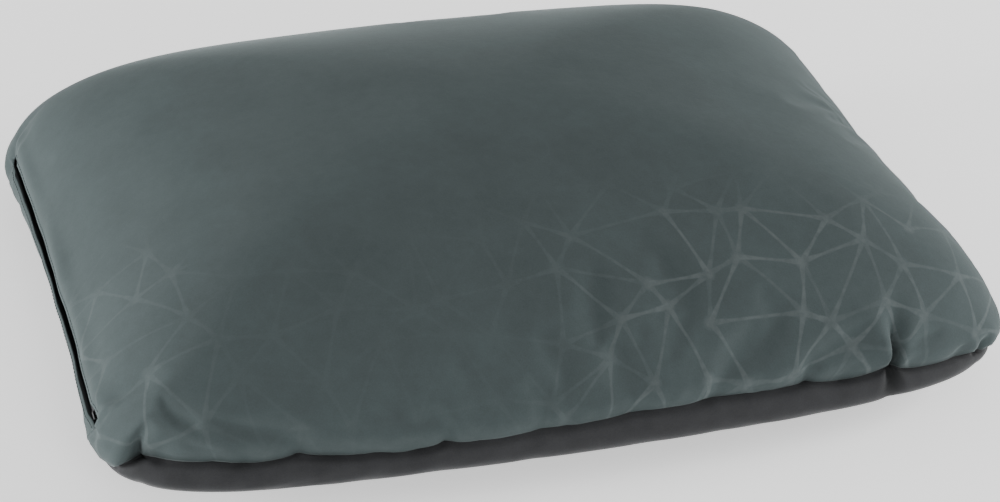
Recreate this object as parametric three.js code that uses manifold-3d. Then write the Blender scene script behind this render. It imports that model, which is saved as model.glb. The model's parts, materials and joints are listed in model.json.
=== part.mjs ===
// Camp pillow: a cored foam block in a sewn liner, inside a zipped fabric cover.
// Millimetres, +Z up. X runs along the long side, -Y is the front, the zip is on the -X end.
// The origin is the middle of the flat base.

import * as THREE from 'three';
import { mergeVertices } from 'three/addons/utils/BufferGeometryUtils.js';
import Module from 'manifold-3d';

const wasm = await Module();
wasm.setup();

// ---- driving dimensions -------------------------------------------------------------------

// outer form of the pillow
const HALF_LENGTH = 280;      // before the short ends are pulled in
const HALF_DEPTH = 200;       // before the long sides bulge
const OUTLINE_POWER = 7.2;    // how square the outline is at the equator
const CROWN_POWER = 2.6;      // and how square it is near the crown and the base's middle
const EQUATOR = 30;           // height of the widest level
const DOME_HEIGHT = 110;      // equator to crown
const DOME_POWER = 2;
const BASE_DROP = 31.5;       // equator to the lowest point before the base is flattened
const BASE_POWER = 3;
const END_PULL = 15.5;        // how far the short ends are drawn in between their corners
const END_PULL_POWER = 4;
const SIDE_BULGE = 6;         // how far the long sides swell between their corners

// fabric and foam layers, each given as a depth below the outer face
const COVER_THICKNESS = 1.2;
const BINDING_DEPTH = 1.6;
const BINDING_THICKNESS = 0.8;
const RIM_REACH = 4;          // the liner's sewn rim comes out to this depth
const LINER_DEPTH = 8;
const LINER_THICKNESS = 0.6;
const FOAM_DEPTH = 9.1;
const TOUCH_GAP = 0.4;        // left between pieces that touch
const CLEAR = 400;            // a distance that lies outside the pillow on every side

// heights of the seams
const SEAM_HEIGHT = 38;       // top cover to base cover
const FACING_FOOT = 26;       // lower seam of the strip under the zip
const BINDING_WIDTH = 6;
const LINER_SEAM_HEIGHT = 20;
const RIM_THICKNESS = 0.8;

// care label, sewn into the cover's seam at the back
const LABEL_X = 115;
const LABEL_WIDTH = 30;
const LABEL_FOOT = 21.6;
const LABEL_THICKNESS = 0.4;
const LABEL_DEPTH = 2.8;

// zip, in its own frame: x is depth below the cover, y runs along the zip, z is up the wall
const ZIP_HEIGHT = 42;
const SLOT_HALF_LENGTH = 150;
const SLOT_HALF_WIDTH = 4;
const CHAIN_END = 144.5;      // distance of the chain's stops from the middle
const TAPE_DEPTH = 4.5;
const TAPE_THICKNESS = 0.5;
const TAPE_GAP = 0.7;         // half the gap between the two tapes
const TAPE_WIDTH = 8.5;
const COIL_DEPTH = 2.6;
const COIL_THICKNESS = 1.6;
const COIL_GAP = 0.15;        // half the gap between the two coil halves
const COIL_WIDTH = 2;
const COIL_PLAY = 0.3;        // left at each end of the coils
const STOP_LENGTH = 2.2;
const STOP_HALF_WIDTH = 2.4;
const SLIDER_CLOSED_Y = -138.5;
const SLIDER_LENGTH = 9;
const SLIDER_HALF_WIDTH = 3.6;
const PLATE = 0.9;            // thickness of the slider's plates and flanges
const POST_HALF_WIDTH = 0.3;
const POST_LENGTH = 1.8;
const BRIDGE_HALF_LENGTH = 3.4;
const BRIDGE_HALF_WIDTH = 0.6;
const BRIDGE_FOOT = 1;
const PULL_LENGTH = 16;
const PULL_HALF_WIDTH = 2.1;
const PULL_THICKNESS = 0.8;
const PULL_WINDOW = 5;
const SLIDER_PLAY = 0.4;      // between the slider's plates and what they slide along
const PULL_PLAY = 0.35;       // between the pull's tab and the slider's bridge

// through holes that lighten the foam and let it pack small
const CORING_RADIUS = 19;
const CORING_PITCH = 68;
const CORING_COLUMNS = 6;
const CORING_ROWS = 4;
const CORING_SIDES = 10;

// ---- materials ----------------------------------------------------------------------------

function finish(color, roughness, metalness = 0) {
  return new THREE.MeshStandardMaterial({ color, roughness, metalness });
}

const brushedKnit = finish(0x566464, 0.95);
const baseFabric = finish(0x383a3b, 0.85);
const tapeWeave = finish(0x1b1d1e, 0.8);
const coilNylon = finish(0x202224, 0.45);
const zincBlack = finish(0x26282a, 0.4, 0.8);
const foam = finish(0xd9cfae, 0.98);
const linerFabric = finish(0xc9cac4, 0.8);
const labelSatin = finish(0xe4e4e0, 0.55);

// ---- solids -------------------------------------------------------------------------------

// a closed three.js geometry as a manifold solid
function solidOf(geometry) {
  const bare = geometry.clone();
  bare.deleteAttribute('normal');
  bare.deleteAttribute('uv');
  const merged = mergeVertices(bare, 1e-4);
  return new wasm.Manifold(new wasm.Mesh({
    numProp: 3,
    vertProperties: new Float32Array(merged.attributes.position.array),
    triVerts: new Uint32Array(merged.index.array),
  }));
}

// a manifold solid as a three.js geometry
function geometryOf(solid) {
  const mesh = solid.getMesh();
  const geometry = new THREE.BufferGeometry();
  const positions = new Float32Array(mesh.vertProperties);
  geometry.setAttribute('position', new THREE.BufferAttribute(positions, 3));
  geometry.setIndex(new THREE.BufferAttribute(new Uint32Array(mesh.triVerts), 1));
  geometry.computeVertexNormals();
  return geometry;
}

// a box from its low and high corners
function block(low, high) {
  const size = high.map((value, axis) => value - low[axis]);
  const centre = high.map((value, axis) => (value + low[axis]) / 2);
  return new THREE.BoxGeometry(...size).translate(...centre);
}

// an outline in the y-z plane, given thickness along +x from x = start
function slab(outline, start, thickness) {
  const geometry = new THREE.ExtrudeGeometry(outline, {
    depth: thickness,
    bevelEnabled: false,
    curveSegments: 4,
  });
  const axes = new THREE.Matrix4().makeBasis(
    new THREE.Vector3(0, 1, 0),
    new THREE.Vector3(0, 0, 1),
    new THREE.Vector3(1, 0, 0),
  );
  return geometry.applyMatrix4(axes).translate(start, 0, 0);
}

// a solid round peg between two heights
function peg(radius, low, high, segments) {
  const cylinder = new THREE.CylinderGeometry(radius, radius, high - low, segments);
  return cylinder.rotateX(Math.PI / 2).translate(0, 0, (high + low) / 2);
}

function joined(...geometries) {
  return geometries.map(solidOf).reduce((whole, piece) => whole.add(piece));
}

function signedPower(value, power) {
  return Math.sign(value) * Math.abs(value) ** power;
}

// ---- the pillow's surface -----------------------------------------------------------------

// turn goes round the outline; climb goes from the base's middle, -PI/2, to the crown, PI/2
function pillowPoint(turn, climb, inset = 0) {
  const length = HALF_LENGTH - inset;
  const depth = HALF_DEPTH - inset;
  const upper = climb >= 0;
  const power = 2 / (upper ? DOME_POWER : BASE_POWER);
  const reach = (upper ? DOME_HEIGHT : BASE_DROP) - inset;
  const cos = Math.cos(turn);
  const sin = Math.sin(turn);
  const square = CROWN_POWER + (OUTLINE_POWER - CROWN_POWER) * Math.abs(Math.cos(climb));
  const outline = (Math.abs(cos / length) ** square + Math.abs(sin / depth) ** square) ** (-1 / square);
  const radius = outline * Math.abs(Math.cos(climb)) ** power;
  const x = radius * cos;
  const y = radius * sin;
  const along = x / length;
  const across = y / depth;
  const pull = END_PULL * along ** 2 * (1 - Math.abs(across) ** END_PULL_POWER);
  const bulge = SIDE_BULGE * across ** 2 * (1 - along ** 2);
  return new THREE.Vector3(
    x - Math.sign(x) * pull,
    y + Math.sign(y) * bulge,
    EQUATOR + reach * signedPower(Math.sin(climb), power),
  );
}

// a filled pillow whose face lies a given depth below the outer one, flat underneath
function pillowSolid(inset) {
  const around = 40;
  const domeRings = 7;
  const baseRings = 4;
  const cornering = 0.6;      // below 1 crowds the points into the corners
  const points = [];
  const faces = [];
  for (let ringIndex = 1 - baseRings; ringIndex < domeRings; ringIndex += 1) {
    const share = ringIndex / (ringIndex < 0 ? baseRings : domeRings);
    for (let step = 0; step < around; step += 1) {
      const angle = (2 * Math.PI * step) / around;
      const turn = Math.atan2(
        HALF_DEPTH * signedPower(Math.sin(angle), cornering),
        HALF_LENGTH * signedPower(Math.cos(angle), cornering),
      );
      points.push(pillowPoint(turn, (share * Math.PI) / 2, inset));
    }
  }
  const rows = domeRings + baseRings - 1;
  const bottom = points.push(new THREE.Vector3(0, 0, EQUATOR - BASE_DROP + inset)) - 1;
  const crown = points.push(new THREE.Vector3(0, 0, EQUATOR + DOME_HEIGHT - inset)) - 1;
  for (let step = 0; step < around; step += 1) {
    const next = (step + 1) % around;
    faces.push(bottom, next, step);
    for (let row = 0; row < rows - 1; row += 1) {
      const low = row * around;
      const high = low + around;
      faces.push(low + step, low + next, high + next);
      faces.push(low + step, high + next, high + step);
    }
    const last = (rows - 1) * around;
    faces.push(last + step, last + next, crown);
  }
  const geometry = new THREE.BufferGeometry().setFromPoints(points);
  geometry.setIndex(faces);
  return solidOf(geometry).intersect(levels(inset, EQUATOR + DOME_HEIGHT));
}

// everything between two heights
function levels(low, high) {
  return solidOf(block([-CLEAR, -CLEAR, low], [CLEAR, CLEAR, high]));
}

// the -X end between two heights, as far out as a given distance from the middle of the zip
function zipEnd(halfLength, low, high) {
  return solidOf(block([-CLEAR, -halfLength, low], [-HALF_LENGTH * 0.7, halfLength, high]));
}

// ---- the zip's frame ----------------------------------------------------------------------

const zipClimb = Math.asin((ZIP_HEIGHT - EQUATOR) / DOME_HEIGHT);
const zipSeat = pillowPoint(Math.PI, zipClimb);
const zipLean = Math.atan2((ZIP_HEIGHT - EQUATOR) / DOME_HEIGHT ** 2, Math.cos(zipClimb) / HALF_LENGTH);
const zipFrame = new THREE.Group();
zipFrame.position.copy(zipSeat);
zipFrame.rotation.y = zipLean;
zipFrame.updateMatrix();

// ---- cover --------------------------------------------------------------------------------

const coverFace = pillowSolid(0);
const coverShell = coverFace.subtract(pillowSolid(COVER_THICKNESS));
const halfGap = TOUCH_GAP / 2;
const slotReach = 12;
const slotCut = solidOf(block(
  [-slotReach, -SLOT_HALF_LENGTH, -SLOT_HALF_WIDTH],
  [slotReach, SLOT_HALF_LENGTH, SLOT_HALF_WIDTH],
).applyMatrix4(zipFrame.matrix));

function makeTopCover() {
  return coverShell
    .intersect(levels(SEAM_HEIGHT + halfGap, EQUATOR + DOME_HEIGHT + 1))
    .subtract(zipEnd(SLOT_HALF_LENGTH, 0, ZIP_HEIGHT))
    .subtract(slotCut);
}

function makeZipFacing() {
  return coverShell
    .intersect(zipEnd(SLOT_HALF_LENGTH - TOUCH_GAP, FACING_FOOT + halfGap, ZIP_HEIGHT))
    .subtract(slotCut);
}

function makeBaseCover() {
  return coverShell
    .intersect(levels(-1, SEAM_HEIGHT - halfGap))
    .subtract(zipEnd(SLOT_HALF_LENGTH, FACING_FOOT - halfGap, ZIP_HEIGHT));
}

// binding over the raw edges of the seam, left out behind the zip
function makeSeamBinding() {
  const top = SEAM_HEIGHT - TOUCH_GAP;
  return pillowSolid(BINDING_DEPTH)
    .intersect(levels(top - BINDING_WIDTH, top))
    .subtract(pillowSolid(BINDING_DEPTH + BINDING_THICKNESS))
    .subtract(zipEnd(SLOT_HALF_LENGTH + SLOT_HALF_WIDTH, 0, SEAM_HEIGHT));
}

// hangs from the seam just inside the cover's back wall
function makeCareLabel() {
  const patch = block(
    [LABEL_X - LABEL_WIDTH / 2, 0, LABEL_FOOT],
    [LABEL_X + LABEL_WIDTH / 2, CLEAR, SEAM_HEIGHT - TOUCH_GAP],
  );
  return pillowSolid(LABEL_DEPTH)
    .subtract(pillowSolid(LABEL_DEPTH + LABEL_THICKNESS))
    .intersect(solidOf(patch));
}

// ---- core ---------------------------------------------------------------------------------

const linerShell = pillowSolid(LINER_DEPTH).subtract(pillowSolid(LINER_DEPTH + LINER_THICKNESS));
const rimBlank = pillowSolid(RIM_REACH).subtract(pillowSolid(LINER_DEPTH + LINER_THICKNESS / 2));

function makeLinerUpper() {
  const low = LINER_SEAM_HEIGHT + halfGap;
  const rim = rimBlank.intersect(levels(low, low + RIM_THICKNESS));
  return linerShell.intersect(levels(low, EQUATOR + DOME_HEIGHT)).add(rim);
}

function makeLinerLower() {
  const high = LINER_SEAM_HEIGHT - halfGap;
  const rim = rimBlank.intersect(levels(high - RIM_THICKNESS, high));
  return linerShell.intersect(levels(0, high)).add(rim);
}

function makeFoamCore() {
  const hole = peg(CORING_RADIUS, 0, EQUATOR + DOME_HEIGHT, CORING_SIDES);
  let core = pillowSolid(FOAM_DEPTH);
  for (let column = 0; column < CORING_COLUMNS; column += 1) {
    for (let row = 0; row < CORING_ROWS; row += 1) {
      const x = (column - (CORING_COLUMNS - 1) / 2) * CORING_PITCH;
      const y = (row - (CORING_ROWS - 1) / 2) * CORING_PITCH;
      core = core.subtract(solidOf(hole.clone().translate(x, y, 0)));
    }
  }
  return core;
}

// ---- zip ----------------------------------------------------------------------------------

function makeTape(side) {
  const edges = [side * TAPE_GAP, side * (TAPE_GAP + TAPE_WIDTH)].sort((a, b) => a - b);
  return block(
    [TAPE_DEPTH, -SLOT_HALF_LENGTH, edges[0]],
    [TAPE_DEPTH + TAPE_THICKNESS, SLOT_HALF_LENGTH, edges[1]],
  );
}

// half of the closed chain, from the slider's post to the back stop
function makeCoil(side) {
  const front = SLIDER_CLOSED_Y - SLIDER_LENGTH / 2 + POST_LENGTH + COIL_PLAY;
  const across = COIL_WIDTH / 2;
  const through = COIL_THICKNESS / 2;
  const section = new THREE.Shape();
  section.absellipse(side * (COIL_GAP + across), COIL_DEPTH + through, across, through, 0, 2 * Math.PI);
  const bar = new THREE.ExtrudeGeometry(section, {
    depth: CHAIN_END - front,
    bevelEnabled: false,
    curveSegments: 5,
  });
  // the section's (x, y) becomes (z, x), and the extrusion runs along y
  const axes = new THREE.Matrix4().makeBasis(
    new THREE.Vector3(0, 0, 1),
    new THREE.Vector3(1, 0, 0),
    new THREE.Vector3(0, 1, 0),
  );
  return bar.applyMatrix4(axes).translate(0, front, 0);
}

function makeStop(end) {
  const near = end * (CHAIN_END + COIL_PLAY);
  const far = near + end * STOP_LENGTH;
  return block(
    [COIL_DEPTH, Math.min(near, far), -STOP_HALF_WIDTH],
    [COIL_DEPTH + COIL_THICKNESS, Math.max(near, far), STOP_HALF_WIDTH],
  );
}

// outline of a slider plate: wide where the open chain enters, narrow where it leaves closed
function plateOutline() {
  const half = SLIDER_LENGTH / 2;
  const nose = SLIDER_HALF_WIDTH * 0.55;
  const tail = SLIDER_HALF_WIDTH * 0.85;
  const outline = new THREE.Shape();
  outline.moveTo(-half, -nose);
  outline.quadraticCurveTo(-half * 0.9, -SLIDER_HALF_WIDTH, -half * 0.3, -SLIDER_HALF_WIDTH);
  outline.lineTo(half * 0.8, -tail);
  outline.lineTo(half, -tail * 0.8);
  outline.lineTo(half, tail * 0.8);
  outline.lineTo(half * 0.8, tail);
  outline.lineTo(-half * 0.3, SLIDER_HALF_WIDTH);
  outline.quadraticCurveTo(-half * 0.9, SLIDER_HALF_WIDTH, -half, nose);
  outline.closePath();
  return outline;
}

const outerPlate = COIL_DEPTH - SLIDER_PLAY - PLATE;          // depth of the slider's outer face
const innerPlate = TAPE_DEPTH + TAPE_THICKNESS + SLIDER_PLAY; // depth where the inner plate starts
const pullPlane = outerPlate - SLIDER_PLAY - PULL_THICKNESS / 2;
const bridgeTop = pullPlane - PULL_THICKNESS / 2 - 0.3;

// block between two depths, two places along the zip and two heights, given in any order
function bar(depths, places, heights) {
  const ranges = [depths, places, heights];
  return block(ranges.map((range) => Math.min(...range)), ranges.map((range) => Math.max(...range)));
}

// two plates joined by a post between the tapes, flanges that hold the coils, and a bridge
function makeSlider() {
  const half = SLIDER_LENGTH / 2;
  const channel = COIL_GAP + COIL_WIDTH + PULL_PLAY;
  const flangeFace = SLIDER_HALF_WIDTH * 0.87;
  const outerMiddle = outerPlate + PLATE / 2;
  const innerMiddle = innerPlate + PLATE / 2;
  const bridgeMiddle = bridgeTop - PLATE / 2;
  const bridgeEnd = BRIDGE_HALF_LENGTH - BRIDGE_FOOT;
  const bridgeWidth = [-BRIDGE_HALF_WIDTH, BRIDGE_HALF_WIDTH];
  const pieces = [
    slab(plateOutline(), outerPlate, PLATE),
    slab(plateOutline(), innerPlate, PLATE),
    bar([outerMiddle, innerMiddle], [-half, POST_LENGTH - half], [-POST_HALF_WIDTH, POST_HALF_WIDTH]),
    bar([bridgeTop - PLATE, bridgeTop], [-BRIDGE_HALF_LENGTH, BRIDGE_HALF_LENGTH], bridgeWidth),
  ];
  for (const side of [-1, 1]) {
    const flange = [side * channel, side * flangeFace];
    const foot = [side * bridgeEnd, side * BRIDGE_HALF_LENGTH];
    pieces.push(
      bar([outerMiddle, TAPE_DEPTH - COIL_PLAY], [-half * 0.3, half * 0.75], flange),
      bar([bridgeMiddle, outerMiddle], foot, bridgeWidth),
    );
  }
  return joined(...pieces);
}

// tab with a window round the bridge's foot, turning on its end bar under the bridge
function makePull() {
  const half = PULL_THICKNESS / 2;
  const outline = new THREE.Shape();
  outline.moveTo(-half, -PULL_HALF_WIDTH);
  outline.lineTo(PULL_LENGTH - PULL_HALF_WIDTH, -PULL_HALF_WIDTH);
  outline.absarc(PULL_LENGTH - PULL_HALF_WIDTH, 0, PULL_HALF_WIDTH, -Math.PI / 2, Math.PI / 2);
  outline.lineTo(-half, PULL_HALF_WIDTH);
  outline.closePath();
  const window = new THREE.Path();
  const side = BRIDGE_HALF_WIDTH + PULL_PLAY;
  window.moveTo(half, -side);
  window.lineTo(half, side);
  window.lineTo(PULL_WINDOW, side);
  window.lineTo(PULL_WINDOW, -side);
  window.closePath();
  outline.holes.push(window);
  return slab(outline, -half, PULL_THICKNESS);
}

// ---- assembly -----------------------------------------------------------------------------

function piece(name, shape, material) {
  const geometry = shape.isBufferGeometry ? shape : geometryOf(shape);
  const mesh = new THREE.Mesh(geometry, material);
  mesh.name = name;
  return mesh;
}

const pillow = new THREE.Group();

pillow.add(
  piece('top_cover', makeTopCover(), brushedKnit),
  piece('base_cover', makeBaseCover(), baseFabric),
  piece('zip_facing', makeZipFacing(), brushedKnit),
  piece('seam_binding', makeSeamBinding(), tapeWeave),
  piece('care_label', makeCareLabel(), labelSatin),
  piece('liner_upper', makeLinerUpper(), linerFabric),
  piece('liner_lower', makeLinerLower(), linerFabric),
  piece('foam_core', makeFoamCore(), foam),
);

const slider = piece('zip_slider', makeSlider(), zincBlack);
slider.position.set(0, SLIDER_CLOSED_Y, 0);
const pull = piece('zip_pull', makePull(), zincBlack);
pull.position.set(pullPlane, SLIDER_CLOSED_Y, 0);
zipFrame.add(
  piece('zip_tape_upper', makeTape(1), tapeWeave),
  piece('zip_tape_lower', makeTape(-1), tapeWeave),
  piece('zip_coil_upper', makeCoil(1), coilNylon),
  piece('zip_coil_lower', makeCoil(-1), coilNylon),
  piece('zip_stop_front', makeStop(-1), coilNylon),
  piece('zip_stop_back', makeStop(1), coilNylon),
  slider,
  pull,
);
pillow.add(zipFrame);

export default pillow;
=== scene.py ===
# Camp pillow: the looks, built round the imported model. Metres, same frame as the model:
# +Z up, X along the long side, -Y is the front, the zip is on the -X end.
import json
import math

import bpy
import bmesh
import numpy as np
from mathutils import Matrix, Vector


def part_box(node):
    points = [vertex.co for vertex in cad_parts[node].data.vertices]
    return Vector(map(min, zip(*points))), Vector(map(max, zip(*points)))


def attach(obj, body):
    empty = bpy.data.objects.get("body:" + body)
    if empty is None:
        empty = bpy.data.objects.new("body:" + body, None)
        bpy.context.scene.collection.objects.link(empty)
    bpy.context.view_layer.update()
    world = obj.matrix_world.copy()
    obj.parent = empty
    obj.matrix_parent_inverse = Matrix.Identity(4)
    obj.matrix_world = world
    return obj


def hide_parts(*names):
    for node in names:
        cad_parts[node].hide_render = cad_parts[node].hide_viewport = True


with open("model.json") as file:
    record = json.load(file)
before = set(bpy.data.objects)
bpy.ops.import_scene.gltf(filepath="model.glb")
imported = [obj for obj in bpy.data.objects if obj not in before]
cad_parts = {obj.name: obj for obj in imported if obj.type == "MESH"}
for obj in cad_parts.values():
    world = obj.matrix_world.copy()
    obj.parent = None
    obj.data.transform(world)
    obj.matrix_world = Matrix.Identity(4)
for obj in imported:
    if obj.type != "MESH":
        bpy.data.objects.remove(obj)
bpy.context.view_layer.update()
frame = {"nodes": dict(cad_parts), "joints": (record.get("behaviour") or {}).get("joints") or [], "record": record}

MM = 0.001
CAD = frame["nodes"]

# ---- outer form of the filled cover ----
HALF_LENGTH = 280 * MM
HALF_DEPTH = 201 * MM
EQUATOR = 30 * MM
DOME_HEIGHT = 110 * MM
BASE_DROP = 31 * MM  # the base would reach this far below the equator without a floor
EDGE_SQUARE = 7.2  # the outline's superellipse power at the equator
CROWN_SQUARE = 3.0
LEFT_PULL = 18.9 * MM  # how far each side is drawn in, or swells, between its corners
RIGHT_PULL = 14.0 * MM
FRONT_BULGE = 11.8 * MM
BACK_BULGE = 0.8 * MM
CENTRE_Y = (FRONT_BULGE - BACK_BULGE) / 2

RINGS = 54  # rings of a panel's grid from its middle to the seam
COVER_THICKNESS = 0.6 * MM
LINER_DEPTH = 9.4 * MM
LINER_THICKNESS = 0.4 * MM
FOAM_DEPTH = 10.4 * MM
CORING_RADIUS = 19 * MM
CORING_PITCH = 68 * MM
CORING_COLUMNS = 6
CORING_ROWS = 4

# seam between the panels, and the rows of the grid round the zip
SEAM_HEIGHT = 38 * MM
SEAM_UNDER_ZIP = 25 * MM
ZIP_ROWS = [25, 29.5, 34.2, 39.3, 44.7, 48.6]  # heights in mm, from the seam up
ZIP_ROWS_REJOIN = 18  # ring above the seam where the rows are regular again
SLOT_HALF_LENGTH = 150 * MM
SLOT_FADE = 62 * MM  # distance over which the zip's rows turn into the plain side's
SLOT_HALF_GAP = 3.3 * MM
SLOT_TAPER = 9  # columns past an end of the slot over which the fabric gets back to its place
LOWER_LIP, UPPER_LIP = 6, 8  # rows of the fine grid, counted from the seam

# the zip's own axes, from the pull's hinge: x goes in through the wall, z runs up it
PULL_HINGE = next(joint for joint in frame["joints"] if joint["name"] == "pull_swing")
PULL_DEPTH = 0.5 * MM
ZIP_UP = np.array(PULL_HINGE["axis"])
ZIP_IN = np.cross((0, 1, 0), ZIP_UP)
ZIP_SEAT = np.array(PULL_HINGE["pos_m"]) * (1, 0, 1) - PULL_DEPTH * ZIP_IN

# swelling of the cover by cloth simulation
SWELL_PRESSURE = 2.0
SEAM_SHRINK = 0.03
SWELL_FRAMES = 16
SWELL_CAP = 6 * MM  # how far a point may move from the designed form
BROAD_PASSES = 50  # blurring that tells the cover's broad motion from its wrinkles
BROAD_GAIN = 0.15
WRINKLE_GAINS = (0.65, 0.12)  # on the top panel and on the base
TAUT_PLACE = (-150 * MM, 152 * MM)  # the back-left corner beyond this is smooth, with no wrinkles
TAUT_FADE = (50 * MM, 14 * MM)

# ---- camera ----
VIEW_AZIMUTH = -18.39
VIEW_ELEVATION = 31.38
VIEW_ROLL = 2.77
VIEW_DISTANCE = 1.64
VIEW_CENTRE = Vector((-0.0005, 0.0055, 0.03))
VIEW_LENS = 96.6
VIEW_SHIFT = (0.0182, -0.0100)


# ---- small tools ----
def signed_power(value, power):
    return np.sign(value) * np.abs(value) ** power


def smooth(value):
    """0 below 0, 1 above 1, and eased between."""
    t = np.clip(value, 0, 1)
    return t * t * (3 - 2 * t)


def bell(value):
    return np.exp(-np.square(value))


def unit(vectors):
    return vectors / np.maximum(np.linalg.norm(vectors, axis=-1, keepdims=True), 1e-12)


def add_object(name, data):
    obj = bpy.data.objects.new(name, data)
    bpy.context.scene.collection.objects.link(obj)
    return obj


def new_mesh(name, points, faces, rounded=None):
    mesh = bpy.data.meshes.new(name)
    mesh.from_pydata(np.asarray(points).tolist(), [], [list(map(int, face)) for face in faces])
    rounded = np.ones(len(mesh.polygons), bool) if rounded is None else rounded
    mesh.polygons.foreach_set("use_smooth", rounded)
    mesh.update()
    return add_object(name, mesh)


def coordinates(mesh):
    flat = np.empty(len(mesh.vertices) * 3)
    mesh.vertices.foreach_get("co", flat)
    return flat.reshape(-1, 3)


# ---- the cover's grid ----
# Each panel is a square grid of concentric square rings: ring 0 is its middle, the last its seam.
# The first index runs along X and the second along Y.
COUNT = 2 * RINGS + 1
STEPS = np.arange(-RINGS, RINGS + 1) / RINGS
GRID_P, GRID_Q = np.meshgrid(STEPS, STEPS, indexing="ij")
GRID_RING = np.rint(np.maximum(np.abs(GRID_P), np.abs(GRID_Q)) * RINGS).astype(int)
FINE = 2 * COUNT - 1
MIDDLE = FINE // 2
FINE_STEPS = np.abs(np.arange(FINE) - MIDDLE)
ABOVE_SEAM = MIDDLE - np.maximum(FINE_STEPS[:, None], FINE_STEPS[None, :])

# the seam's humps along the front, in mm: how high, where along X and how wide
SEAM_HUMPS = ((6, 85, 110), (3.5, -165, 35), (-1.5, -118, 20))
SEAM_DROPS = ((4, 1, 175, 70), (3, -1, 215, 30))  # how deep, towards which end, from where, over how far
CORNER_DROP, CORNER_RISE = 6, 6  # mm, at the right end and at the front-left corner
SCALLOP_DEPTH = 2.2
# where the seam puckers along X
SCALLOPS = np.array([-300, -245, -205, -167, -122, -84, -30, 22, 74, 129, 179, 214, 246, 300]) * MM


def climb_of(height):
    """The climb angle, 0 at the equator, of a height above the floor."""
    rise = height - EQUATOR
    up = np.arcsin(np.clip(rise / DOME_HEIGHT, 0, 1))
    down = np.arcsin(np.clip(-rise / BASE_DROP, 0, 1) ** 1.5)
    return np.where(rise >= 0, up, -down)


def pillow_point(turn, climb):
    upper = climb >= 0
    power = np.where(upper, 1.0, 2 / 3)
    reach = np.where(upper, DOME_HEIGHT, BASE_DROP)
    cos, sin = np.cos(turn), np.sin(turn)
    level = np.abs(np.cos(climb))
    square = CROWN_SQUARE + (EDGE_SQUARE - CROWN_SQUARE) * np.sqrt(level)
    outline = (np.abs(cos / HALF_LENGTH) ** square + np.abs(sin / HALF_DEPTH) ** square) ** (-1 / square)
    x, y = outline * level ** power * cos, outline * level ** power * sin
    along, across = x / HALF_LENGTH, y / HALF_DEPTH
    x = x + np.where(along < 0, LEFT_PULL, -RIGHT_PULL) * along ** 2 * (1 - across ** 2)
    y = y + np.where(across < 0, -FRONT_BULGE, BACK_BULGE) * across ** 2 * (1 - along ** 2)
    z = EQUATOR + reach * signed_power(np.sin(climb), power)
    return np.stack([x, y + CENTRE_Y, np.maximum(z, 0)], -1)


def scallop(place):
    """0 at the puckers of the seam and 1 midway between them."""
    after = np.clip(np.searchsorted(SCALLOPS, place), 1, len(SCALLOPS) - 1)
    start, end = SCALLOPS[after - 1], SCALLOPS[after]
    return np.sin(np.pi * np.clip((place - start) / (end - start), 0, 1)) ** 0.7


def seam_height(turn):
    """Height of the seam away from the zip: up and down along the front, lower round the right front
    corner, higher round the left one, and sagging between the puckers."""
    x = np.cos(turn) / np.maximum(np.abs(np.sin(turn)) / HALF_DEPTH, 1 / HALF_LENGTH)
    front = smooth((-np.sin(turn) - 0.2) / 0.4)
    wave = sum(height * bell((x - place * MM) / (width * MM)) for height, place, width in SEAM_HUMPS)
    for depth, way, start, span in SEAM_DROPS:
        wave = wave - depth * smooth((way * x - start * MM) / (span * MM))
    right = smooth((np.cos(turn) - 0.7) / 0.2) * smooth((0.5 - np.sin(turn)) / 0.5)
    left_corner = bell(np.hypot(np.cos(turn) + 0.84, np.sin(turn) + 0.54) / 0.16)
    bends = front * wave - CORNER_DROP * right + CORNER_RISE * left_corner - SCALLOP_DEPTH * scallop(x)
    return SEAM_HEIGHT + bends * MM


def panel_grid(side):
    """Points of one panel, side 1 the top and -1 the base, with their plan angles and climbs."""
    ring = GRID_RING / RINGS
    safe = np.where(ring == 0, 1, ring)
    turn = np.arctan2(GRID_Q / safe * HALF_DEPTH, GRID_P / safe * HALF_LENGTH)
    rim = pillow_point(turn, np.full_like(turn, 0.05))
    beyond = np.abs(rim[..., 1] - CENTRE_Y) - SLOT_HALF_LENGTH
    beyond = beyond + np.maximum(0, rim[..., 0] + HALF_LENGTH * 0.93)
    zip_side = (1 - smooth(beyond / SLOT_FADE)) * (rim[..., 0] < -HALF_LENGTH / 2)
    plain_seam = climb_of(seam_height(turn))
    above = RINGS - GRID_RING
    crown = math.pi / 2
    regular = plain_seam + (crown - plain_seam) * above / RINGS
    if side > 0:
        last = len(ZIP_ROWS) - 1
        rejoin = plain_seam + (crown - plain_seam) * ZIP_ROWS_REJOIN / RINGS
        rejoin_height = EQUATOR + DOME_HEIGHT * np.sin(rejoin)
        spread = (above - last) / (ZIP_ROWS_REJOIN - last)
        close = np.array(ZIP_ROWS)[np.minimum(above, last)] * MM
        height = close + np.maximum(spread, 0) * (rejoin_height - ZIP_ROWS[-1] * MM)
        zip_climb = np.where(above >= ZIP_ROWS_REJOIN, regular, climb_of(height))
        climb = regular + (zip_climb - regular) * zip_side
    else:
        start = plain_seam + (climb_of(np.float64(SEAM_UNDER_ZIP)) - plain_seam) * zip_side
        climb = start + (-crown - start) * (1 - ring)
    return pillow_point(turn, climb), turn, climb


def quads(index, mask=None, flip=False):
    faces = np.stack([index[:-1, :-1], index[1:, :-1], index[1:, 1:], index[:-1, 1:]], -1)
    faces = faces.reshape(-1, 4) if mask is None else faces[mask]
    return faces[:, ::-1] if flip else faces


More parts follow.
